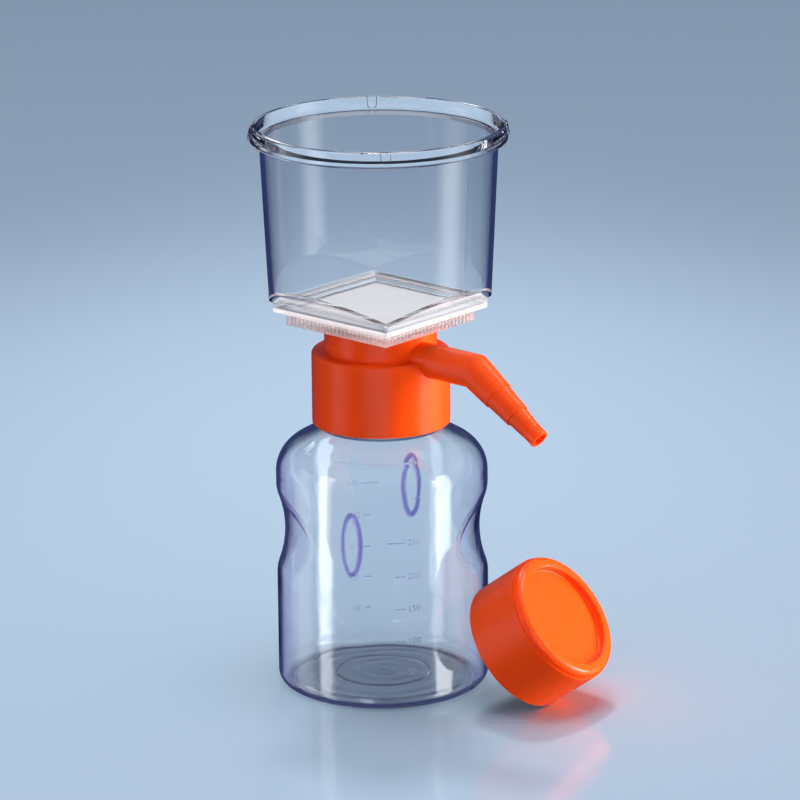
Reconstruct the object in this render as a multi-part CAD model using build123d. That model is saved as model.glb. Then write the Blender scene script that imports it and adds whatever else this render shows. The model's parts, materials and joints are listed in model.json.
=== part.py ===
"""Vacuum filtration unit: a clear receiver bottle with a screw-on filter head.

Millimetres, +Z up.  The origin is the centre of the bottle's standing ring, and the
vacuum port points along +X.  Heights are worked out from the floor upwards.
"""
from build123d import *
import math
import os

# ---------------------------------------------------------------- receiver bottle
bottle_radius = 38.0
bottle_wall = 1.5
bottle_side_height = 79.0  # floor to the start of the shoulder
base_corner_radius = 4.5
standing_ring_width = 1.6
punt_height = 1.6
punt_plateau_radius = 16.5
punt_step_height = 0.5  # around the plateau
punt_step_run = 0.9
punt_shoulder_radius = 28.6
punt_shoulder_height = 0.9
punt_bulge = 0.3  # of the rounded rise from the standing ring
shoulder_radius = 13.1
shoulder_slope = 30.0  # degrees, between the shoulder's curve and the neck
neck_radius = 20.9  # root of the neck's thread
neck_wall = 2.1
neck_height = 20.88
neck_root_fillet = 2.5

grip_depth = 3.0
grip_curve_radius = 39.0  # up and down a grip
grip_sweep_radius = 47.6  # around a grip
grip_middle_height = 58.0
grip_edge_radius = 10.0  # outside
grip_angles = (44.0, 224.0)

pad_length = 23.5
pad_width = 7.5
pad_side = 1.7  # width of the slope around a pad
pad_proud = 1.1
pad_middle_height = 61.8
pad_angles = (-65.0, 115.0)

# ---------------------------------------------------------------- screw thread
thread_pitch = 4.0
thread_depth = 1.3
thread_root_width = 2.2
thread_crest_width = 1.1
thread_clearance = 0.35  # crest to root, all round
thread_from_mouth = 3.5  # last ridge of the neck, below its mouth
neck_thread_turns = 1.25
socket_thread_turns = 1.0
thread_sink = 0.3  # how far a ridge is rooted in its wall

# ---------------------------------------------------------------- neck seal and adapter
seal_thickness = 1.2
face_gap = 0.05  # between flat faces that press on each other
skirt_wall = 2.2
skirt_overlap = 19.7  # how far the skirt reaches down from the neck's mouth
skirt_edge_radius = 1.2
collar_radius = 20.15
collar_wall = 2.5
collar_height = 9.6
port_radius = 6.15
port_bore_radius = 4.05
port_floor = 0.95  # material between the neck's space and the port's bore
port_reach = 0.9  # how far the port stands out of the skirt

# ---------------------------------------------------------------- hose connector
spigot_clearance = 0.05
spigot_length = 6.2
connector_bore_radius = 2.4
bend_reach = 44.4  # unit's axis to the bend
bend_angle = 33.2  # degrees below the horizontal
stage_ends = (12.9, 23.3, 31.6)  # along the angled arm, from the bend
stage_root_radii = (6.15, 5.15, 4.1)
stage_end_radii = (5.55, 4.55, 3.5)
tip_length = 4.0  # straight tip after the last stage
tip_edge_radius = 0.5

# ---------------------------------------------------------------- support plate
block_half_side = 23.65
block_height = 5.1
plate_half_side = 27.35
plate_thickness = 1.5
plate_corner_radius = 1.2
tray_wall = 1.5
tray_floor = 1.5
rib_pitch = 1.9
rib_width = 0.8
trench_width = 5.0
flute_depth = 0.5
flute_width = 0.95
nozzle_radius = 5.5
nozzle_bore_radius = 4.0
nozzle_length = 17.8  # below the block
spigot_ring_wall = 1.7
spigot_ring_length = 4.3
seat_clearance = 0.1

# ---------------------------------------------------------------- membrane
membrane_half_side = 24.4
membrane_thickness = 0.2

# ---------------------------------------------------------------- funnel
funnel_wall = 1.6
funnel_flange = 1.96
window_half_side = 22.15
window_corner_radius = 0.8
funnel_bottom_radius = 39.5
funnel_top_radius = 42.25
funnel_height = 57.7  # flange to the underside of the rim
facet_slope = 34.05  # degrees from the horizontal
rim_radius = 45.75
rim_top_radius = 44.65
rim_height = 6.4
rim_underside_rise = 1.2
lid_recess_radius = 43.3
lid_recess_depth = 4.2
rim_edge_radius = 0.6
lug_width = 3.2  # at its root
lug_proud = 0.8
lug_side_slope = 15.0  # degrees from square, so that the lug draws out of its mould
lug_foot_gap = 0.3  # between the rim's lower edge and the lug
lug_angles = (45.0, 135.0, 225.0, 315.0)

# ---------------------------------------------------------------- storage cap
cap_radius = 24.1
cap_height = 24.6
cap_top = 2.2
cap_edge_radius = 2.3
cap_step = 0.45  # the side ends in a small step below the closed end
cap_step_height = 3.2
cap_rim_width = 5.0
cap_recess_depth = 2.6
cap_recess_edge_radius = 0.6
cap_recess_floor_radius = 0.7
plug_ring_wall = 1.0
plug_ring_length = 3.0
plug_ring_clearance = 0.2
cap_elevation = 36.8  # of the cap's axis, out of its closed end
cap_azimuth = 11.3
cap_bearing = 17.3  # of the middle of its open end, seen from the bottle's axis
cap_gap = 0.6  # between the cap's edge and the bottle

# ---------------------------------------------------------------- heights and fits that follow
slope = math.radians(shoulder_slope)
shoulder_centre_radius = bottle_radius - shoulder_radius


def slope_height(inset, radius):
    """Height of the bottle's upper slope at a radius, one inset inside the outer face."""
    arc_end_radius = shoulder_centre_radius + (shoulder_radius - inset) * math.sin(slope)
    arc_end_height = bottle_side_height + (shoulder_radius - inset) * math.cos(slope)
    return arc_end_height + (arc_end_radius - radius) * math.tan(slope)


neck_base_height = slope_height(0, neck_radius)
neck_bore_radius = neck_radius - neck_wall
mouth_height = neck_base_height + neck_height
thread_crest_radius = neck_radius + thread_depth
socket_radius = thread_crest_radius + thread_clearance
seal_bottom = mouth_height + face_gap
ceiling_height = seal_bottom + seal_thickness + face_gap
skirt_radius = socket_radius + skirt_wall
skirt_bottom = mouth_height - skirt_overlap
port_height = ceiling_height + port_floor + port_bore_radius
deck_height = port_height + 0.1
port_face = skirt_radius + port_reach
collar_top = deck_height + collar_height
collar_bore_radius = collar_radius - collar_wall
spigot_radius = port_bore_radius - spigot_clearance
block_top = collar_top + block_height
plate_top = block_top + plate_thickness
membrane_bottom = plate_top - membrane_thickness
flange_top = plate_top + funnel_flange
rim_bottom = flange_top + funnel_height
rim_top = rim_bottom + rim_height
facet_angle = math.radians(facet_slope)


# ---------------------------------------------------------------- helpers
def turned(*edges):
    """Solid of revolution about Z from a closed half outline drawn as (radius, height)."""
    return revolve(Plane.XZ * make_face(Wire(edges)), Axis.Z)


def turned_outline(*corners):
    """Solid of revolution about Z from the corners of a half outline."""
    return revolve(Plane.XZ * make_face(Polyline(*corners, close=True)), Axis.Z)


def upright(radius, bottom, top):
    """Cylinder about Z between two heights."""
    return Pos(0, 0, bottom) * Cylinder(radius, top - bottom, align=(Align.CENTER, Align.CENTER, Align.MIN))


def square_block(half_side, bottom, top, corner_radius=0.0):
    """Square block about Z between two heights."""
    side = 2 * half_side
    outline = RectangleRounded(side, side, corner_radius) if corner_radius else Rectangle(side, side)
    return Pos(0, 0, bottom) * extrude(outline, top - bottom)


def edges_at(part, radius, height):
    """Round edges about Z with a given radius and height."""
    near = 1e-3
    round_edges = part.edges().filter_by(GeomType.CIRCLE)
    return [
        edge
        for edge in round_edges
        if abs(edge.radius - radius) < near and abs(edge.arc_center.Z - height) < near
    ]


def ridge(root_radius, outward, start_height, turns):
    """Helical thread ridge, standing outwards from a neck or inwards from a socket."""
    side = 1 if outward else -1
    path = Helix(thread_pitch, thread_pitch * turns, root_radius)
    section = Plane(path @ 0, x_dir=(1, 0, 0), z_dir=path % 0) * make_face(
        Polyline(
            (-side * thread_sink, -thread_root_width / 2),
            (0, -thread_root_width / 2),
            (side * thread_depth, -thread_crest_width / 2),
            (side * thread_depth, thread_crest_width / 2),
            (0, thread_root_width / 2),
            (-side * thread_sink, thread_root_width / 2),
            close=True,
        )
    )
    return Pos(0, 0, start_height) * sweep(section, path=path, is_frenet=True)


# ---------------------------------------------------------------- receiver bottle
def bottle_form(inset, neck, floor, top):
    """Solid inside the bottle's outer face, or inside its wall when inset is the wall."""
    side = bottle_radius - inset
    ring_outer = bottle_radius - base_corner_radius
    ring_inner = ring_outer - standing_ring_width
    corner = base_corner_radius - inset
    arc = shoulder_radius - inset
    arc_end = (shoulder_centre_radius + arc * math.sin(slope), bottle_side_height + arc * math.cos(slope))
    plateau_edge = (punt_plateau_radius, punt_height + floor)
    step_foot = (punt_plateau_radius + punt_step_run, punt_height - punt_step_height + floor)
    punt_shoulder = (punt_shoulder_radius, punt_shoulder_height + floor)
    punt_rise = (
        (punt_shoulder_radius + ring_inner) / 2 + punt_bulge,
        punt_shoulder_height / 2 + punt_bulge / 2 + floor,
    )
    body = turned(
        Line((0, punt_height + floor), plateau_edge),
        Line(plateau_edge, step_foot),
        Line(step_foot, punt_shoulder),
        ThreePointArc(punt_shoulder, punt_rise, (ring_inner, floor)),
        Line((ring_inner, floor), (ring_outer, base_corner_radius - corner)),
        RadiusArc((ring_outer, base_corner_radius - corner), (side, base_corner_radius), -corner),
        Line((side, base_corner_radius), (side, bottle_side_height)),
        RadiusArc((side, bottle_side_height), arc_end, -arc),
        Line(arc_end, (neck, slope_height(inset, neck))),
        Line((neck, slope_height(inset, neck)), (neck, top)),
        Line((neck, top), (0, top)),
        Line((0, top), (0, punt_height + floor)),
    )
    body = fillet(edges_at(body, neck, slope_height(inset, neck)), neck_root_fillet)
    body = Rot(0, 0, grip_angles[0] - 90) * body  # keeps the seam of the turned form off the grips
    hollow_centre = bottle_radius - grip_depth - grip_sweep_radius
    for angle in grip_angles:
        hollow = Torus(grip_sweep_radius + grip_curve_radius, grip_curve_radius + inset)
        body -= Rot(0, 0, angle) * Pos(hollow_centre, 0, grip_middle_height) * hollow
    plain = (GeomType.CIRCLE, GeomType.LINE)
    grip_edges = [edge for edge in body.edges() if edge.geom_type not in plain]
    return fillet(grip_edges, grip_edge_radius - inset)


def pad_outline(inset, out):
    """A pad's upright oval, drawn in by inset, facing away from the axis at a distance from it."""
    oval = Ellipse(pad_width / 2 - inset, pad_length / 2 - inset)
    return Plane((out, 0, pad_middle_height), x_dir=(0, 1, 0), z_dir=(1, 0, 0)) * oval


def pad(angle):
    """Slim oval pad raised on the bottle's side, with a sloping edge."""
    foot = pad_outline(0, bottle_radius - bottle_wall / 4)
    crown = pad_outline(pad_side, bottle_radius + pad_proud)
    return Rot(0, 0, angle) * loft([foot, crown], ruled=True)


def receiver_bottle():
    outside = bottle_form(0, neck_radius, 0, mouth_height)
    inside = bottle_form(bottle_wall, neck_bore_radius, bottle_wall, mouth_height + neck_wall)
    bottle = outside - inside
    for angle in pad_angles:
        bottle += pad(angle)
    start = mouth_height - thread_from_mouth - thread_pitch * neck_thread_turns
    return bottle + ridge(neck_radius, True, start, neck_thread_turns)


# ---------------------------------------------------------------- neck seal
def neck_seal():
    seal = upright(socket_radius - thread_clearance, seal_bottom, seal_bottom + seal_thickness)
    return seal - upright(neck_bore_radius, seal_bottom, seal_bottom + seal_thickness)


# ---------------------------------------------------------------- neck adapter
def neck_adapter():
    skirt = upright(skirt_radius, skirt_bottom, deck_height)
    skirt = fillet(edges_at(skirt, skirt_radius, deck_height), skirt_edge_radius)
    port = Pos(0, 0, port_height) * Rot(0, 90, 0) * Cylinder(
        port_radius, port_face, align=(Align.CENTER, Align.CENTER, Align.MIN)
    )
    adapter = skirt + upright(collar_radius, deck_height, collar_top) + port
    adapter -= upright(socket_radius, skirt_bottom, ceiling_height)
    adapter -= upright(collar_bore_radius, ceiling_height, collar_top)
    adapter -= Pos(0, 0, port_height) * Rot(0, 90, 0) * Cylinder(
        port_bore_radius, port_face, align=(Align.CENTER, Align.CENTER, Align.MIN)
    )
    neck_start = mouth_height - thread_from_mouth - thread_pitch * neck_thread_turns
    return adapter + ridge(socket_radius, False, neck_start - thread_pitch / 2, socket_thread_turns)


# ---------------------------------------------------------------- hose connector
def arm_point(distance):
    """Point on the angled arm's axis, at a distance from the bend."""
    angle = math.radians(bend_angle)
    return Vector(bend_reach + distance * math.cos(angle), 0, port_height - distance * math.sin(angle))


def hose_connector():
    bend = arm_point(0)
    shoulder = Vector(port_face + face_gap, 0, port_height)
    straight_end = port_radius * math.tan(math.radians(bend_angle / 2)) + face_gap
    barrel_path = Polyline(shoulder, bend, arm_point(straight_end))
    barrel_section = Plane(shoulder, z_dir=(1, 0, 0)) * Circle(port_radius)
    connector = sweep(barrel_section, path=barrel_path, transition=Transition.RIGHT)
    direction = arm_point(1) - bend
    starts = (straight_end,) + stage_ends[:-1]
    for start, end, root, tip in zip(starts, stage_ends, stage_root_radii, stage_end_radii):
        stage = Cone(root, tip, end - start, align=(Align.CENTER, Align.CENTER, Align.MIN))
        connector += Plane(arm_point(start), z_dir=direction) * stage
    tip = Cylinder(stage_end_radii[-1], tip_length, align=(Align.CENTER, Align.CENTER, Align.MIN))
    tip = fillet(edges_at(tip, stage_end_radii[-1], tip_length), tip_edge_radius)
    connector += Plane(arm_point(stage_ends[-1]), z_dir=direction) * tip
    spigot_start = shoulder - Vector(spigot_length, 0, 0)
    spigot = Cylinder(spigot_radius, spigot_length, align=(Align.CENTER, Align.CENTER, Align.MIN))
    connector += Plane(spigot_start, z_dir=(1, 0, 0)) * spigot
    bore_start = spigot_start - Vector(1, 0, 0)
    bore_path = Polyline(bore_start, bend, arm_point(stage_ends[-1] + tip_length + 1))
    bore_section = Plane(bore_start, z_dir=(1, 0, 0)) * Circle(connector_bore_radius)
    return connector - sweep(bore_section, path=bore_path, transition=Transition.RIGHT)


# ---------------------------------------------------------------- support plate
def flutes():
    """Grooves up the four sides of the support plate's block."""
    count = int((2 * block_half_side - rib_pitch) / rib_pitch)
    depth_middle = block_half_side - flute_depth / 2
    grooves = []
    for side in range(4):
        for index in range(count):
            along = (index - (count - 1) / 2) * rib_pitch
            groove = Box(flute_depth, flute_width, block_height)
            middle = Pos(depth_middle, along, collar_top + block_height / 2)
            grooves.append(Rot(0, 0, 90 * side) * middle * groove)
    return grooves


def drain_channels():
    """Channels between the ribs that carry the membrane."""
    tray_half = block_half_side - flute_depth - tray_wall
    floor = collar_top + tray_floor
    depth = membrane_bottom - floor
    count = int(2 * tray_half / rib_pitch)
    width = rib_pitch - rib_width
    channels = []
    for index in range(count):
        along = (index - (count - 1) / 2) * rib_pitch
        channels.append(Pos(0, along, floor + depth / 2) * Box(2 * tray_half, width, depth))
    length = (count - 1) * rib_pitch + width
    channels.append(Pos(0, 0, floor + depth / 2) * Box(trench_width, length, depth))
    return channels


def support_plate():
    plate = square_block(block_half_side, collar_top, block_top)
    plate += square_block(plate_half_side, block_top, plate_top, plate_corner_radius)
    ring_radius = collar_bore_radius - seat_clearance
    ring = upright(ring_radius, collar_top - spigot_ring_length, collar_top)
    plate += ring - upright(ring_radius - spigot_ring_wall, collar_top - spigot_ring_length, collar_top)
    plate += upright(nozzle_radius, collar_top - nozzle_length, collar_top)
    plate -= square_block(membrane_half_side + seat_clearance, membrane_bottom, plate_top)
    plate -= flutes()
    plate -= drain_channels()
    return plate - upright(nozzle_bore_radius, collar_top - nozzle_length, collar_top + tray_floor)


# ---------------------------------------------------------------- membrane
def membrane():
    return square_block(membrane_half_side, membrane_bottom, plate_top)


# ---------------------------------------------------------------- funnel
def cup_form(inset):
    """Round cup with four sloped facets down to its square base, one inset inside."""
    def facet_half_side(height):
        lift = height - flange_top - inset / math.cos(facet_angle)
        return plate_half_side + lift / math.tan(facet_angle)

    lowest = facet_half_side(flange_top)
    highest = facet_half_side(rim_bottom)
    pyramid = loft(
        [
            Pos(0, 0, flange_top) * Rectangle(2 * lowest, 2 * lowest),
            Pos(0, 0, rim_bottom) * Rectangle(2 * highest, 2 * highest),
        ],
        ruled=True,
    )
    cone = Cone(
        funnel_bottom_radius - inset,
        funnel_top_radius - inset,
        funnel_height,
        align=(Align.CENTER, Align.CENTER, Align.MIN),
    )
    return pyramid & (Pos(0, 0, flange_top) * cone)


def rim_ring(proud):
    """Stepped rim with the lid's recess, its outer face a little proud for the lugs."""
    recess_floor = rim_top - lid_recess_depth
    underside_edge = rim_bottom + rim_underside_rise
    ring = turned_outline(
        (funnel_top_radius - funnel_wall, rim_bottom),
        (funnel_top_radius, rim_bottom),
        (rim_radius + proud, underside_edge),
        (rim_top_radius + proud, rim_top),
        (lid_recess_radius, rim_top),
        (lid_recess_radius, recess_floor),
        (funnel_top_radius - funnel_wall, recess_floor),
    )
    ring = fillet(edges_at(ring, rim_radius + proud, underside_edge), rim_edge_radius)
    return fillet(edges_at(ring, rim_top_radius + proud, rim_top), rim_edge_radius)


def lug_boss():
    """U-shaped boss out through the rim's face at +X, its sides sloping together."""
    root_depth = rim_radius - lid_recess_radius
    slope = math.radians(lug_side_slope)
    base_width = lug_width + 2 * root_depth * math.tan(slope)
    foot = rim_bottom + rim_underside_rise + lug_foot_gap + lug_width / 2
    outline = Circle(base_width / 2)
    outline += Rectangle(base_width, 2 * rim_height, align=(Align.CENTER, Align.MIN))
    face = Plane(origin=(lid_recess_radius, 0, foot), x_dir=(0, 1, 0), z_dir=(1, 0, 0))
    return extrude(face * outline, root_depth + lug_proud, taper=lug_side_slope)


def funnel():
    flange = square_block(plate_half_side, plate_top, flange_top, plate_corner_radius)
    flange -= square_block(window_half_side, plate_top, flange_top, window_corner_radius)
    cup = flange + (cup_form(0) - cup_form(funnel_wall)) + rim_ring(0)
    for angle in lug_angles:
        cup += rim_ring(lug_proud) & (Rot(0, 0, angle) * lug_boss())
    return cup


# ---------------------------------------------------------------- storage cap
def cap_upright():
    """The cap standing on its open end, with its axis on Z."""
    top = cap_height
    rim_inner = cap_radius - cap_rim_width
    crown_radius = cap_radius - cap_step
    recess_floor = top - cap_recess_depth
    cap = upright(cap_radius, 0, top - cap_step_height) + upright(crown_radius, 0, top)
    cap -= upright(rim_inner, recess_floor, top)
    cap = fillet(edges_at(cap, crown_radius, top), cap_edge_radius)
    cap = fillet(edges_at(cap, rim_inner, top), cap_recess_edge_radius)
    cap = fillet(edges_at(cap, rim_inner, recess_floor), cap_recess_floor_radius)
    ceiling = recess_floor - cap_top
    cap -= upright(socket_radius, 0, ceiling)
    plug_radius = neck_bore_radius - plug_ring_clearance
    plug = upright(plug_radius, ceiling - plug_ring_length, ceiling)
    cap += plug - upright(plug_radius - plug_ring_wall, ceiling - plug_ring_length, ceiling)
    start = ceiling - thread_from_mouth - thread_pitch * neck_thread_turns
    return cap + ridge(socket_radius, False, start - thread_pitch / 2, socket_thread_turns)


def lean_distance():
    """Distance from the bottle's axis to the cap's open end, so that its edge meets the bottle."""
    elevation = math.radians(cap_elevation)
    turn = math.radians(cap_azimuth - cap_bearing)
    nearest = bottle_radius + cap_gap
    near, far = 0.0, nearest + 2 * cap_radius
    while far - near > 1e-6:
        middle = (near + far) / 2
        closest = far * far
        for step in range(3600):
            angle = math.radians(step / 10)
            back = -cap_radius * math.sin(angle) * math.sin(elevation)
            across = cap_radius * math.cos(angle)
            along_x = middle + back * math.cos(turn) - across * math.sin(turn)
            along_y = back * math.sin(turn) + across * math.cos(turn)
            closest = min(closest, math.hypot(along_x, along_y))
        if closest > nearest:
            far = middle
        else:
            near = middle
    return far


def storage_cap():
    bearing = math.radians(cap_bearing)
    elevation = math.radians(cap_elevation)
    azimuth = math.radians(cap_azimuth)
    distance = lean_distance()
    lift = cap_radius * math.cos(elevation)
    foot = (distance * math.cos(bearing), distance * math.sin(bearing), lift)
    level = math.cos(elevation)
    axis = (level * math.cos(azimuth), level * math.sin(azimuth), math.sin(elevation))
    return Plane(foot, z_dir=axis) * cap_upright()


# ---------------------------------------------------------------- export
makers = {
    "receiver_bottle": receiver_bottle,
    "neck_seal": neck_seal,
    "neck_adapter": neck_adapter,
    "hose_connector": hose_connector,
    "support_plate": support_plate,
    "membrane": membrane,
    "funnel": funnel,
    "storage_cap": storage_cap,
}

os.makedirs("parts", exist_ok=True)
for name, make in makers.items():
    export_step(make(), f"parts/{name}.step")
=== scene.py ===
"""Looks, light and camera for a disposable vacuum filtration unit.

A clear funnel with a square membrane stands on an orange adapter, which screws on a clear bottle.
A hose connector points sideways out of the adapter, and the storage cap leans on the bottle.
Every length is in metres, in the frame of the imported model.
"""

import json
import math

import bmesh
import bpy
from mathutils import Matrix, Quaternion, Vector

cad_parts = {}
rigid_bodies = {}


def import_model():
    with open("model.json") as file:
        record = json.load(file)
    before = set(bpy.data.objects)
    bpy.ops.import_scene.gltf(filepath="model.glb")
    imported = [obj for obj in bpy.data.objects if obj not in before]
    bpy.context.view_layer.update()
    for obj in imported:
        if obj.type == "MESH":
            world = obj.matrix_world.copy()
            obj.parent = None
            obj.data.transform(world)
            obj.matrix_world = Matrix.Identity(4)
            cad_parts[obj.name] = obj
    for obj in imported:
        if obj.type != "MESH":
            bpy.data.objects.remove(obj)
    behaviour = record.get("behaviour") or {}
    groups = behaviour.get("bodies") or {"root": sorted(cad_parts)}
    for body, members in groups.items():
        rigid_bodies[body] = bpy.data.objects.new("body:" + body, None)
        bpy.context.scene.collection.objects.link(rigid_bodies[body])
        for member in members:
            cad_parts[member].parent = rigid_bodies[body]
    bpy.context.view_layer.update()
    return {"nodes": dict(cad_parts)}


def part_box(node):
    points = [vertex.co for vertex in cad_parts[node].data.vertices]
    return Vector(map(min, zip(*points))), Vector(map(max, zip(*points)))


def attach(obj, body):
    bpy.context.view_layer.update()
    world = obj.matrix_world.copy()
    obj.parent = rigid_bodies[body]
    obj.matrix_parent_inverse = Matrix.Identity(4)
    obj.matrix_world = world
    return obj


for leftover in list(bpy.data.objects):
    bpy.data.objects.remove(leftover)

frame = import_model()
MM = 0.001

# ---------------------------------------------------------------- places on the object
BOTTLE_RADIUS = 38 * MM
PAD_ANGLE = 115.0
PAD_HEIGHT = 61.8 * MM
PAD_LENGTH = 23.5 * MM
PAD_WIDTH = 7.5 * MM
PAD_SLOPE = 1.7 * MM
PAD_BLEND = 0.4 * MM
FLANGE_THICKNESS = 1.96 * MM
PLATE_THICKNESS = 1.5 * MM
WELD_WIDTH = 1.6 * MM  # milky edge of the funnel's foot and of the plate
WELD_BLEND = 0.5 * MM
BLOCK_BLEND = 0.3 * MM
SCALE_ANGLES = {"scale_near": -36.0, "scale_far": 144.0}
SCALE_HEIGHTS = {50: 14.4 * MM, 100: 26.3 * MM, 150: 38.3 * MM, 200: 50.4 * MM, 250: 62.9 * MM}
SHORT_TICK = 3.5 * MM
LONG_TICK = 6.5 * MM
TICK_WIDTH = 0.35 * MM
DIGIT_SIZE = 3.2 * MM
DIGIT_GAP = 0.8 * MM
MARK_BACK = 0.01 * MM  # out of the bottle's side
MARK_FRONT = 0.12 * MM
TICK_STEPS = 12

# ---------------------------------------------------------------- colours and finishes
ORANGE = (0.92, 0.076, 0.004)
CLEAR_IOR = 1.59
WALL_TINT = (0.94, 0.955, 0.97)  # of lamp light that has passed a clear wall
BOTTLE_TINT = (0.97, 0.985, 1.0)
# Painted shade: a purple veil on the pads' slopes, in place of the dark outline that refraction gives.
PAD_PAINTED_OUTLINE_TINT = (0.56, 0.52, 0.79)
PAD_PAINTED_OUTLINE_VEIL = 0.85
# Painted light: a pale veil lets the floor show straight through the base, brightening it.
BASE_PAINTED_LIGHT_TINT = (0.93, 0.93, 1.0)
BASE_PAINTED_LIGHT_VEIL = 0.12
RIPPLE_PITCH = 6.5 * MM  # moulding ripples in the bottle's base
RIPPLE_DRIFT = 6 * MM
RIPPLE_DEPTH = 0.03 * MM
RIPPLE_TOP = 6 * MM
FUNNEL_TINT = (0.985, 0.99, 1.0)
# Painted reflection: a salmon tint on the plate and its block stands in for the orange collar's colour
# seen through them.
PLATE_PAINTED_ORANGE_TINT = (1.0, 0.93, 0.92)
BLOCK_PAINTED_ORANGE_TINT = (1.0, 0.93, 0.9)
BLOCK_PAINTED_ORANGE_VEIL = 0.4
BLOCK_MILK = 0.38  # of the milkiness at the plate's edge
INK_TINT = (0.50, 0.56, 0.74)
MEMBRANE_SHADES = ((0.70, 0.685, 0.70), (0.80, 0.78, 0.795))
SEAL_COLOUR = (0.66, 0.66, 0.64)
FLOOR_COLOUR = (0.62, 0.78, 0.92)
WORLD_SHADES = {0.0: (0.04, 0.055, 0.18), 0.2: (0.06, 0.085, 0.15), 0.9: (0.55, 0.62, 0.75)}

# ---------------------------------------------------------------- camera and lamps
VIEW_AZIMUTH = 42.0
VIEW_ELEVATION = 16.38
VIEW_ROLL = -0.54
VIEW_DISTANCE = 1.8
VIEW_TARGET = Vector((0, 0, 0.1))
LENS = 226.4
SHIFT = (0.0234, 0.0158)
HEAD_MIDDLE = Vector((0, 0, 0.17))
PANEL_DISTANCE = 1.6
WHITE = (1, 1, 1)


def direction(azimuth, elevation):
    """Unit vector from the object towards a place round it; azimuth 0 is in front, at -Y."""
    a, e = math.radians(azimuth), math.radians(elevation)
    return Vector((math.sin(a) * math.cos(e), -math.cos(a) * math.cos(e), math.sin(e)))


def put(thing, data, location, back, spin=0.0):
    """Adds a camera or lamp that looks against the direction back."""
    thing = bpy.data.objects.new(thing, data)
    thing.location = location
    thing.rotation_mode = "QUATERNION"
    thing.rotation_quaternion = (-back).to_track_quat("-Z", "Y") @ Quaternion((0, 0, 1), spin)
    bpy.context.scene.collection.objects.link(thing)
    return thing


def add_camera():
    data = bpy.data.cameras.new("camera")
    data.lens = LENS
    data.sensor_width = 36
    data.shift_x, data.shift_y = SHIFT
    data.clip_start, data.clip_end = 0.05, 100
    back = direction(VIEW_AZIMUTH, VIEW_ELEVATION)
    place = VIEW_TARGET + back * VIEW_DISTANCE
    bpy.context.scene.camera = put("camera", data, place, back, math.radians(VIEW_ROLL))


def new_panel(name, place, out, size, power, colour):
    """A soft light panel at a place, which shines against the direction out."""
    data = bpy.data.lights.new(name, "AREA")
    data.shape = "RECTANGLE"
    data.size, data.size_y = size
    data.energy = power
    data.color = colour
    lamp = put(name, data, place, out)
    lamp.visible_camera = False
    lamp.visible_transmission = False
    return lamp


def add_panel(name, side, middle, size, power, soft=0.0, colour=WHITE, distance=PANEL_DISTANCE):
    """An upright panel, side degrees to the right of the camera's line of sight."""
    out = direction(VIEW_AZIMUTH + side, 0)
    place = Vector((0, 0, middle)) + out * distance
    lamp = new_panel(name, place, out, size, power, colour)
    if soft:
        fade_edges(lamp.data, soft, "X")
    return lamp


def add_dome_panel(name, side, elevation, size, power, soft=0.4):
    """A panel that faces the filter head from anywhere on a dome round it."""
    out = direction(VIEW_AZIMUTH + side, elevation)
    lamp = new_panel(name, HEAD_MIDDLE + out * PANEL_DISTANCE, out, size, power, WHITE)
    lamp.visible_transmission = True
    fade_edges(lamp.data, soft, "XY")
    return lamp


def fade_edges(data, soft, axes):
    """Makes a panel fade out towards its sides, for axis X, and towards its ends, for axis Y."""
    data.use_nodes = True
    nodes, links = data.node_tree.nodes, data.node_tree.links
    glow = next(node for node in nodes if node.type == "EMISSION")
    place = nodes.new("ShaderNodeNewGeometry")
    split = nodes.new("ShaderNodeSeparateXYZ")
    links.new(place.outputs["Parametric"], split.inputs[0])
    strength = 1.0
    for axis in axes:
        centred = math_node(data.node_tree, "SUBTRACT", split.outputs[axis], 0.5)
        spread = math_node(data.node_tree, "ABSOLUTE", centred)
        fade = scaled(data.node_tree, spread, 0, 1, 0.5, 0.5 - soft)
        fade.node.interpolation_type = "SMOOTHSTEP"
        strength = math_node(data.node_tree, "MULTIPLY", fade, strength)
    links.new(strength, glow.inputs["Strength"])


def add_spot(name, side, elevation, distance, aim, angle, power, radius):
    """A round pool of light on the floor and on what stands in it."""
    data = bpy.data.lights.new(name, "SPOT")
    data.energy = power
    data.spot_size = math.radians(angle)
    data.spot_blend = 1.0
    data.shadow_soft_size = radius
    out = direction(VIEW_AZIMUTH + side, elevation)
    lamp = put(name, data, aim + out * distance, out)
    lamp.visible_camera = False
    lamp.visible_transmission = False
    return lamp


def link_light(name, lamps, things, state):
    """Keeps lamps off some things, or on nothing but them."""
    lit = bpy.data.collections.new(name)
    for place, thing in enumerate(things):
        lit.objects.link(thing)
        lit.collection_objects[place].light_linking.link_state = state
    for lamp in lamps:
        lamp.light_linking.receiver_collection = lit


def add_world():
    world = bpy.data.worlds.new("studio")
    world.use_nodes = True
    nodes, links = world.node_tree.nodes, world.node_tree.links
    back = next(node for node in nodes if node.type == "BACKGROUND")
    places = nodes.new("ShaderNodeTexCoord")
    split = nodes.new("ShaderNodeSeparateXYZ")
    ramp = nodes.new("ShaderNodeValToRGB")
    links.new(places.outputs["Generated"], split.inputs[0])
    links.new(split.outputs["Z"], ramp.inputs[0])
    low, high = ramp.color_ramp.elements
    low.position = min(WORLD_SHADES)
    high.position = max(WORLD_SHADES)
    ramp.color_ramp.elements.new(sorted(WORLD_SHADES)[1])
    for element, height in zip(ramp.color_ramp.elements, sorted(WORLD_SHADES)):
        element.color = (*WORLD_SHADES[height], 1)
    links.new(ramp.outputs["Color"], back.inputs["Color"])
    back.inputs["Strength"].default_value = 0.7
    bpy.context.scene.world = world


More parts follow.
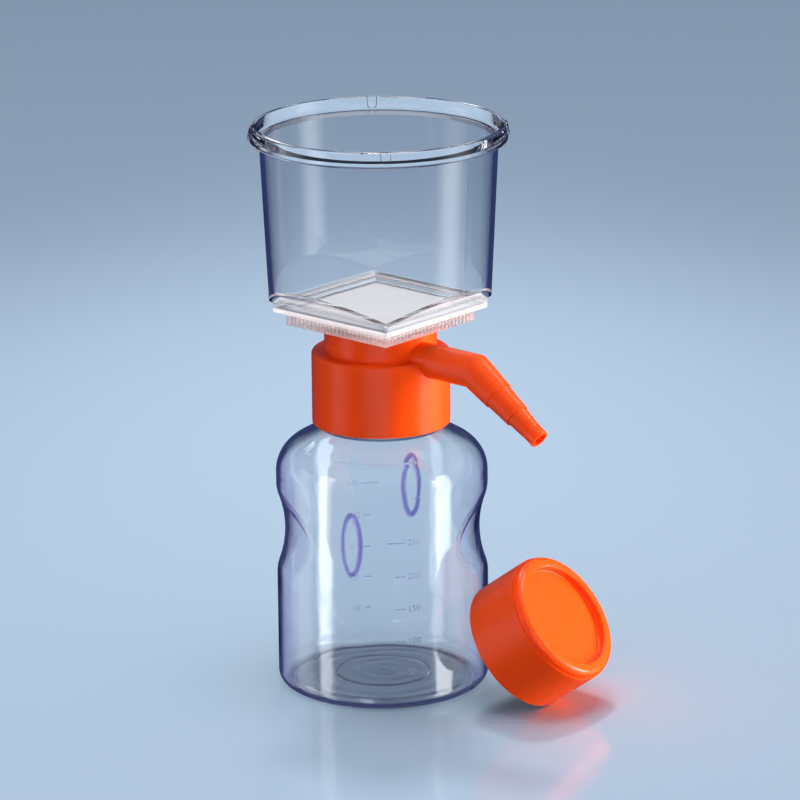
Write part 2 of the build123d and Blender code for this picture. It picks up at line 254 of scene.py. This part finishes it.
def add_floor():
    bpy.ops.mesh.primitive_circle_add(vertices=96, radius=12, fill_type="NGON")
    floor = bpy.context.object
    floor.name = "floor"
    material, tree, shader = new_material("floor_look")
    shader.inputs["Base Color"].default_value = (*FLOOR_COLOUR, 1)
    shader.inputs["Roughness"].default_value = 0.12
    shader.inputs["Specular IOR Level"].default_value = 0.35
    open_to_reflections(tree)
    floor.data.materials.append(material)
    floor.visible_diffuse = False
    floor.visible_shadow = False
    return floor


def open_to_reflections(tree):
    """Leaves the floor out of what the object mirrors, as a dark studio round a lit table would."""
    path = tree.nodes.new("ShaderNodeLightPath")
    gone = tree.nodes.new("ShaderNodeBsdfTransparent")
    mix = tree.nodes.new("ShaderNodeMixShader")
    shader = next(node for node in tree.nodes if node.type == "BSDF_PRINCIPLED")
    out = next(node for node in tree.nodes if node.type == "OUTPUT_MATERIAL")
    tree.links.new(path.outputs["Glossy Depth"], mix.inputs["Fac"])
    tree.links.new(shader.outputs["BSDF"], mix.inputs[1])
    tree.links.new(gone.outputs["BSDF"], mix.inputs[2])
    tree.links.new(mix.outputs["Shader"], out.inputs["Surface"])


# ---------------------------------------------------------------- materials
def new_material(name):
    """A material with a lone Principled shader, its node tree and that shader."""
    material = bpy.data.materials.new(name)
    material.use_nodes = True
    tree = material.node_tree
    shader = next(node for node in tree.nodes if node.type == "BSDF_PRINCIPLED")
    return material, tree, shader


def noise(tree, scale, detail):
    """A noise fixed to the object."""
    places = tree.nodes.new("ShaderNodeTexCoord")
    texture = tree.nodes.new("ShaderNodeTexNoise")
    texture.inputs["Scale"].default_value = scale
    texture.inputs["Detail"].default_value = detail
    tree.links.new(places.outputs["Object"], texture.inputs["Vector"])
    return texture.outputs["Fac"]


def add_bump(tree, shader, height, depth):
    """Raises the surface by up to depth where height is 1, on top of any earlier bump."""
    bump = tree.nodes.new("ShaderNodeBump")
    bump.inputs["Strength"].default_value = 1.0
    bump.inputs["Distance"].default_value = depth
    for earlier in shader.inputs["Normal"].links:
        tree.links.new(earlier.from_socket, bump.inputs["Normal"])
    tree.links.new(height, bump.inputs["Height"])
    tree.links.new(bump.outputs["Normal"], shader.inputs["Normal"])


def scaled(tree, value, low, high, start=0.0, end=1.0):
    """A number that runs from low to high as value runs from start to end."""
    node = tree.nodes.new("ShaderNodeMapRange")
    node.inputs["From Min"].default_value = start
    node.inputs["From Max"].default_value = end
    node.inputs["To Min"].default_value = low
    node.inputs["To Max"].default_value = high
    tree.links.new(value, node.inputs["Value"])
    return node.outputs["Result"]


def let_lamps_through(tree, shader):
    """Lets lamp light pass straight through, as thin clear walls do."""
    path = tree.nodes.new("ShaderNodeLightPath")
    through = tree.nodes.new("ShaderNodeBsdfTransparent")
    through.inputs["Color"].default_value = (*WALL_TINT, 1)
    mix = tree.nodes.new("ShaderNodeMixShader")
    out = next(node for node in tree.nodes if node.type == "OUTPUT_MATERIAL")
    tree.links.new(path.outputs["Is Shadow Ray"], mix.inputs["Fac"])
    tree.links.new(shader.outputs["BSDF"], mix.inputs[1])
    tree.links.new(through.outputs["BSDF"], mix.inputs[2])
    tree.links.new(mix.outputs["Shader"], out.inputs["Surface"])


def clear_plastic(name, tint, roughness, wave_scale, wave_depth, clarity=1.0):
    """Clear polystyrene whose walls wave slightly, as moulded walls do."""
    material, tree, shader = new_material(name)
    shader.inputs["Base Color"].default_value = (*tint, 1)
    shader.inputs["IOR"].default_value = CLEAR_IOR
    shader.inputs["Transmission Weight"].default_value = clarity
    shader.inputs["Roughness"].default_value = roughness
    add_bump(tree, shader, noise(tree, wave_scale, 1.0), wave_depth)
    let_lamps_through(tree, shader)
    return material, tree, shader


def math_node(tree, operation, first, second=0.0):
    """The result of one sum on two numbers, each a socket or a plain value."""
    node = tree.nodes.new("ShaderNodeMath")
    node.operation = operation
    for socket, value in zip(node.inputs, (first, second)):
        if isinstance(value, (int, float)):
            socket.default_value = value
        else:
            tree.links.new(value, socket)
    return node.outputs[0]


def object_place(tree):
    """Sockets of x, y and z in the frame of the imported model."""
    places = tree.nodes.new("ShaderNodeTexCoord")
    split = tree.nodes.new("ShaderNodeSeparateXYZ")
    tree.links.new(places.outputs["Object"], split.inputs[0])
    return split.outputs


def band(tree, value, start, end, blend):
    """1 where value lies between start and end, fading to 0 over blend on both sides."""
    rise = scaled(tree, value, 0, 1, start - blend, start)
    fall = scaled(tree, value, 1, 0, end, end + blend)
    return math_node(tree, "MULTIPLY", rise, fall)


def inside_oval(tree, across, rise, half_width, half_height):
    """About how far a place lies inside an oval's edge."""
    wide = math_node(tree, "DIVIDE", across, half_width)
    high = math_node(tree, "DIVIDE", rise, half_height)
    wide_square = math_node(tree, "MULTIPLY", wide, wide)
    high_square = math_node(tree, "MULTIPLY", high, high)
    short = math_node(tree, "SUBTRACT", 1.0, math_node(tree, "ADD", wide_square, high_square))
    wide_slope = math_node(tree, "DIVIDE", wide, half_width)
    high_slope = math_node(tree, "DIVIDE", rise, half_height**2)
    wide_slope = math_node(tree, "MULTIPLY", wide_slope, wide_slope)
    high_slope = math_node(tree, "MULTIPLY", high_slope, high_slope)
    slope = math_node(tree, "SQRT", math_node(tree, "ADD", wide_slope, high_slope))
    return math_node(tree, "DIVIDE", short, math_node(tree, "MULTIPLY", slope, 2.0))


def veil(tree, mask, tint, amount):
    """Where mask is 1, lets an amount of the light straight through, unbent and tinted."""
    out = next(node for node in tree.nodes if node.type == "OUTPUT_MATERIAL")
    through = tree.nodes.new("ShaderNodeBsdfTransparent")
    through.inputs["Color"].default_value = (*tint, 1)
    mix = tree.nodes.new("ShaderNodeMixShader")
    tree.links.new(math_node(tree, "MULTIPLY", mask, amount), mix.inputs["Fac"])
    tree.links.new(out.inputs["Surface"].links[0].from_socket, mix.inputs[1])
    tree.links.new(through.outputs["BSDF"], mix.inputs[2])
    tree.links.new(mix.outputs["Shader"], out.inputs["Surface"])


def bottle_plastic():
    """The bottle's clear plastic: painted purple shade on the slopes round its pads stands in for
    their dark refraction outline; its base has ripples and a painted brightening.
    """
    material, tree, shader = clear_plastic("clear_bottle_look", BOTTLE_TINT, 0.012, 55, 0.3 * MM)
    x, y, z = object_place(tree)
    turn = math.radians(PAD_ANGLE)
    along_x = math_node(tree, "MULTIPLY", x, -math.sin(turn))
    along_y = math_node(tree, "MULTIPLY", y, math.cos(turn))
    across = math_node(tree, "ADD", along_x, along_y)
    rise = math_node(tree, "SUBTRACT", z, PAD_HEIGHT)
    inside = inside_oval(tree, across, rise, PAD_WIDTH / 2, PAD_LENGTH / 2)
    edge = band(tree, inside, 0.0, PAD_SLOPE, PAD_BLEND)
    # Painted shade: the purple veil over the pads' slopes stands in for their dark refraction outline.
    veil(tree, edge, PAD_PAINTED_OUTLINE_TINT, PAD_PAINTED_OUTLINE_VEIL)

    x_square = math_node(tree, "MULTIPLY", x, x)
    y_square = math_node(tree, "MULTIPLY", y, y)
    from_axis = math_node(tree, "SQRT", math_node(tree, "ADD", x_square, y_square))
    drift = math_node(tree, "MULTIPLY", noise(tree, 45, 1.0), RIPPLE_DRIFT)
    reach = math_node(tree, "ADD", from_axis, drift)
    turns = math_node(tree, "MULTIPLY", reach, math.tau / RIPPLE_PITCH)
    low = scaled(tree, z, 1, 0, RIPPLE_TOP / 2, RIPPLE_TOP)
    ripples = math_node(tree, "MULTIPLY", math_node(tree, "SINE", turns), low)
    add_bump(tree, shader, ripples, RIPPLE_DEPTH)
    # Painted light: the pale veil brightens the base by letting the floor show through unbent.
    veil(tree, low, BASE_PAINTED_LIGHT_TINT, BASE_PAINTED_LIGHT_VEIL)
    return material


def near_square_edge(tree, places, half_side, width):
    """1 in the last width of a square of that half side, and 0 further in."""
    across = math_node(tree, "ABSOLUTE", places[0])
    along = math_node(tree, "ABSOLUTE", places[1])
    furthest = math_node(tree, "MAXIMUM", across, along)
    return scaled(tree, furthest, 0, 1, half_side - width, half_side - width / 2)


def whiten(tree, shader, mask, clearest, milkiest):
    """Turns clear plastic milky where mask is 1; each pair is transmission and roughness."""
    clarity = scaled(tree, mask, clearest[0], milkiest[0])
    roughness = scaled(tree, mask, clearest[1], milkiest[1])
    tree.links.new(clarity, shader.inputs["Transmission Weight"])
    tree.links.new(roughness, shader.inputs["Roughness"])


def funnel_plastic():
    """The funnel's clear plastic, milky at the edge of its foot, where it is welded to the plate."""
    material, tree, shader = clear_plastic("clear_funnel_look", FUNNEL_TINT, 0.008, 30, 0.08 * MM)
    places = object_place(tree)
    weld_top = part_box("funnel")[0][2] + FLANGE_THICKNESS
    low = scaled(tree, places[2], 1, 0, weld_top, weld_top + WELD_BLEND)
    edge = near_square_edge(tree, places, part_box("support_plate")[1][0], WELD_WIDTH)
    mask = math_node(tree, "MULTIPLY", low, edge)
    whiten(tree, shader, mask, (1.0, 0.008), (0.6, 0.15))
    return material


def plate_plastic():
    """The plate's clear plastic, milky at its outer edge and, a little, in the fluted block, with a
    painted salmon tint for the orange collar seen through it.
    """
    material, tree, shader = clear_plastic("clear_plate_look", PLATE_PAINTED_ORANGE_TINT, 0.06, 400, 0.02 * MM)
    places = object_place(tree)
    high_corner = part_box("support_plate")[1]
    edge = near_square_edge(tree, places, high_corner[0], WELD_WIDTH)
    block_top = high_corner[2] - PLATE_THICKNESS
    block = scaled(tree, places[2], 1, 0, block_top - BLOCK_BLEND, block_top)
    milk = math_node(tree, "MAXIMUM", edge, math_node(tree, "MULTIPLY", block, BLOCK_MILK))
    whiten(tree, shader, milk, (0.93, 0.06), (0.5, 0.2))
    # Painted reflection: a salmon veil over the block stands in for the orange collar seen through it.
    veil(tree, block, BLOCK_PAINTED_ORANGE_TINT, BLOCK_PAINTED_ORANGE_VEIL)
    return material


def mottled(tree, shader, mask, dark, light):
    """Colours the surface between two shades, as mask runs from 0 to 1."""
    shade = tree.nodes.new("ShaderNodeMix")
    shade.data_type = "RGBA"
    shade.inputs["A"].default_value = (*dark, 1)
    shade.inputs["B"].default_value = (*light, 1)
    tree.links.new(mask, shade.inputs["Factor"])
    tree.links.new(shade.outputs["Result"], shader.inputs["Base Color"])


def orange_plastic(name):
    """Moulded polyethylene: strong orange, semi-gloss and slightly translucent."""
    material, tree, shader = new_material(name)
    shader.inputs["IOR"].default_value = 1.5
    shader.inputs["Specular IOR Level"].default_value = 0.2
    shader.inputs["Subsurface Weight"].default_value = 0.35
    shader.inputs["Subsurface Radius"].default_value = (5 * MM, 1 * MM, 0.3 * MM)
    shader.inputs["Subsurface Scale"].default_value = 1.0
    mottle = noise(tree, 160, 3.0)
    mottled(tree, shader, mottle, [0.93 * part for part in ORANGE], ORANGE)
    tree.links.new(scaled(tree, mottle, 0.2, 0.3), shader.inputs["Roughness"])
    add_bump(tree, shader, noise(tree, 1400, 3.0), 0.02 * MM)
    return material


def membrane_material():
    """White cellulose membrane with a fine porous surface."""
    material, tree, shader = new_material("membrane_look")
    shader.inputs["Roughness"].default_value = 0.9
    pores = noise(tree, 2600, 4.0)
    mottled(tree, shader, pores, *MEMBRANE_SHADES)
    add_bump(tree, shader, pores, 0.04 * MM)
    return material


def rubber_material():
    """Pale silicone of the neck's seal."""
    material, tree, shader = new_material("seal_look")
    shader.inputs["Base Color"].default_value = (*SEAL_COLOUR, 1)
    grain = noise(tree, 900, 3.0)
    tree.links.new(scaled(tree, grain, 0.5, 0.7), shader.inputs["Roughness"])
    add_bump(tree, shader, grain, 0.02 * MM)
    return material


def dress(node, material):
    for slot in frame["nodes"][node].material_slots:
        slot.material = material


# ---------------------------------------------------------------- marks on the bottle
def on_bottle(mesh, angle, height):
    """Wraps a flat mesh round the bottle's side, its own x to the right as seen from outside."""
    for vertex in mesh.vertices:
        turn = math.radians(angle) + vertex.co.x / BOTTLE_RADIUS
        out = BOTTLE_RADIUS + vertex.co.z
        vertex.co = (out * math.cos(turn), out * math.sin(turn), height + vertex.co.y)


def tick(length, angle, height):
    """A raised graduation line of that length, starting at the scale's own upright line."""
    verts, faces = [], []
    for side in (MARK_BACK, MARK_FRONT):
        for step in range(TICK_STEPS + 1):
            x = -length * step / TICK_STEPS
            verts += [(x, -TICK_WIDTH / 2, side), (x, TICK_WIDTH / 2, side)]
    far = 2 * (TICK_STEPS + 1)
    for step in range(TICK_STEPS):
        a = 2 * step
        faces.append((a, a + 2, a + 3, a + 1))
        faces.append((far + a, far + a + 1, far + a + 3, far + a + 2))
        faces.append((a, far + a, far + a + 2, a + 2))
        faces.append((a + 1, a + 3, far + a + 3, far + a + 1))
    faces.append((0, 1, far + 1, far))
    last = 2 * TICK_STEPS
    faces.append((last, far + last, far + last + 1, last + 1))
    mesh = bpy.data.meshes.new("tick")
    mesh.from_pydata(verts, [], faces)
    on_bottle(mesh, angle, height)
    return mesh


def number(text, angle, height):
    """Raised digits to the right of a scale's upright line, centred on a graduation."""
    curve = bpy.data.curves.new("number", "FONT")
    curve.body = text
    curve.size = DIGIT_SIZE
    curve.align_y = "CENTER"
    curve.extrude = (MARK_FRONT - MARK_BACK) / 2
    curve.resolution_u = 3
    holder = bpy.data.objects.new("number", curve)
    bpy.context.scene.collection.objects.link(holder)
    bpy.context.view_layer.update()
    shaped = holder.evaluated_get(bpy.context.evaluated_depsgraph_get())
    mesh = bpy.data.meshes.new_from_object(shaped)
    bpy.data.objects.remove(holder)
    for vertex in mesh.vertices:
        vertex.co.x += DIGIT_GAP
        vertex.co.z += (MARK_BACK + MARK_FRONT) / 2
    on_bottle(mesh, angle, height)
    return mesh


def joined(name, meshes, material):
    """One object of several meshes, fixed to the bottle."""
    whole = bmesh.new()
    for mesh in meshes:
        whole.from_mesh(mesh)
        bpy.data.meshes.remove(mesh)
    bmesh.ops.recalc_face_normals(whole, faces=whole.faces)
    mesh = bpy.data.meshes.new(name)
    whole.to_mesh(mesh)
    whole.free()
    mesh.materials.clear()
    mesh.materials.append(material)
    thing = bpy.data.objects.new(name, mesh)
    bpy.context.scene.collection.objects.link(thing)
    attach(thing, "bottle")
    return thing


def add_scales():
    """The same fill scale on both sides of the bottle."""
    look = clear_plastic("graduation_look", INK_TINT, 0.35, 400, 0.02 * MM, clarity=0.7)
    for name, angle in SCALE_ANGLES.items():
        meshes = []
        for volume, height in SCALE_HEIGHTS.items():
            longest = volume == max(SCALE_HEIGHTS)
            meshes.append(tick(LONG_TICK if longest else SHORT_TICK, angle, height))
            meshes.append(number(str(volume), angle, height))
        joined(name, meshes, look[0])


# ---------------------------------------------------------------- the scene
dress("receiver_bottle", bottle_plastic())
dress("funnel", funnel_plastic())
dress("support_plate", plate_plastic())
dress("neck_adapter", orange_plastic("orange_adapter_look"))
dress("hose_connector", orange_plastic("orange_connector_look"))
dress("storage_cap", orange_plastic("orange_cap_look"))
dress("membrane", membrane_material())
dress("neck_seal", rubber_material())

add_scales()

add_camera()
floor = add_floor()
add_world()
bottle = frame["nodes"]["receiver_bottle"]
funnel = frame["nodes"]["funnel"]
plate = frame["nodes"]["support_plate"]
orange_parts = [frame["nodes"][name] for name in ("neck_adapter", "hose_connector", "storage_cap")]

# Lamps: name, side, elevation or height of the middle, width and height, watts.
funnel_lights = [
    add_dome_panel("funnel_key", 74, -8, (1.2, 1.9), 14, soft=0.48),
    add_dome_panel("funnel_left", -84, 4, (1.2, 1.2), 5),
    add_dome_panel("funnel_low_left", -130, -38, (1.8, 1.1), 14),
    add_dome_panel("funnel_low_right", 122, -48, (1.3, 0.8), 8),
    add_dome_panel("funnel_back", -158, 16, (0.9, 1.1), 4),
]
key = add_panel("key", 76, 0.1, (1.5, 2.0), 62, soft=0.4)
key_wide = add_panel("key_wide", 88, 0.5, (1.0, 1.0), 40)
front_fill = add_panel("front_fill", -20, 0.9, (1.5, 1.5), 12, distance=2.0)
plate_fill = add_panel("plate_fill", -55, 0.3, (0.9, 1.2), 34)
for soft_light in (key_wide, front_fill, plate_fill):
    soft_light.visible_glossy = False

orange_lights = [
    add_panel("orange_key", 88, -0.1, (1.0, 2.4), 128, soft=0.3, colour=(1, 0.98, 0.88)),
    add_panel("orange_front", -6, 0.3, (1.2, 1.4), 13, colour=(1, 0.9, 1)),
    add_panel("orange_left", -74, 0.1, (1.2, 2.2), 12, soft=0.3, colour=(1, 0.85, 1)),
    add_panel("orange_sheen", 100, 0.1, (1.5, 2.4), 24, soft=0.3, colour=(1, 0.8, 0.2)),
    add_panel("orange_shine", 72, -0.3, (0.5, 1.6), 8, soft=0.3),
    add_panel("orange_glint_high", 113, 1.9, (0.25, 0.4), 24),
    add_panel("orange_glint_low", 94, 0.1, (0.16, 0.3), 14),
]
orange_lights[0].visible_glossy = False
for glint in orange_lights[3:]:
    glint.visible_diffuse = False

strips = [
    add_panel("strip_right", 70, -0.05, (0.72, 2.2), 20, soft=0.2),
    add_panel("strip_left", -66, -0.4, (0.62, 3.2), 14, soft=0.3),
    add_panel("sheen_left", -96, -0.3, (1.2, 2.2), 7, soft=0.4),
    add_panel("base_glow", -20, -1.6, (0.6, 1.0), 8, soft=0.3),
    add_panel("rim_light", -156, 1.5, (0.35, 1.0), 3),
    add_panel("edge_right", 118, 0.1, (1.5, 2.0), 3, soft=0.4, colour=(0.5, 0.4, 1)),
    add_panel("edge_left", -128, 0.1, (1.5, 2.0), 3, soft=0.4, colour=(0.5, 0.4, 1)),
]
for strip in strips:
    strip.visible_transmission = True

behind = -direction(VIEW_AZIMUTH, 0)
overhead, floor_overhead = [
    add_spot(name, 180, 66, 1.5, behind * 0.1, 50, 25, 0.12) for name in ("overhead", "floor_overhead")
]
floor_overhead.visible_glossy = False
glow = add_spot("glow", 180, 24, 1.5, behind * 0.36, 17, 26, 0.1)
glow.data.use_shadow = False
glow.visible_glossy = False
wash = add_panel("wash", 0, 2.5, (1.5, 1.5), 22, distance=0.0)
wash.rotation_quaternion = Quaternion()  # straight down
wash.visible_glossy = False

link_light("funnel_alone", funnel_lights, [funnel], "INCLUDE")
link_light("plate_and_marks", [key], [floor, bottle, funnel, *orange_parts], "EXCLUDE")
link_light("head", [key_wide, front_fill], [floor, bottle, *orange_parts], "EXCLUDE")
link_light("plate_alone", [plate_fill], [plate], "INCLUDE")
link_light("orange_parts", orange_lights, orange_parts, "INCLUDE")
link_light("bottle_alone", strips, [bottle], "INCLUDE")
link_light("off_the_floor", [overhead], [floor], "EXCLUDE")
link_light("floor_alone", [glow, floor_overhead], [floor], "INCLUDE")

scene = bpy.context.scene
scene.view_settings.view_transform = "Standard"
scene.cycles.max_bounces = 32
scene.cycles.transmission_bounces = 32
scene.cycles.glossy_bounces = 12
scene.cycles.transparent_max_bounces = 32
scene.cycles.use_denoising = True
scene.cycles.caustics_reflective = False
scene.cycles.caustics_refractive = False
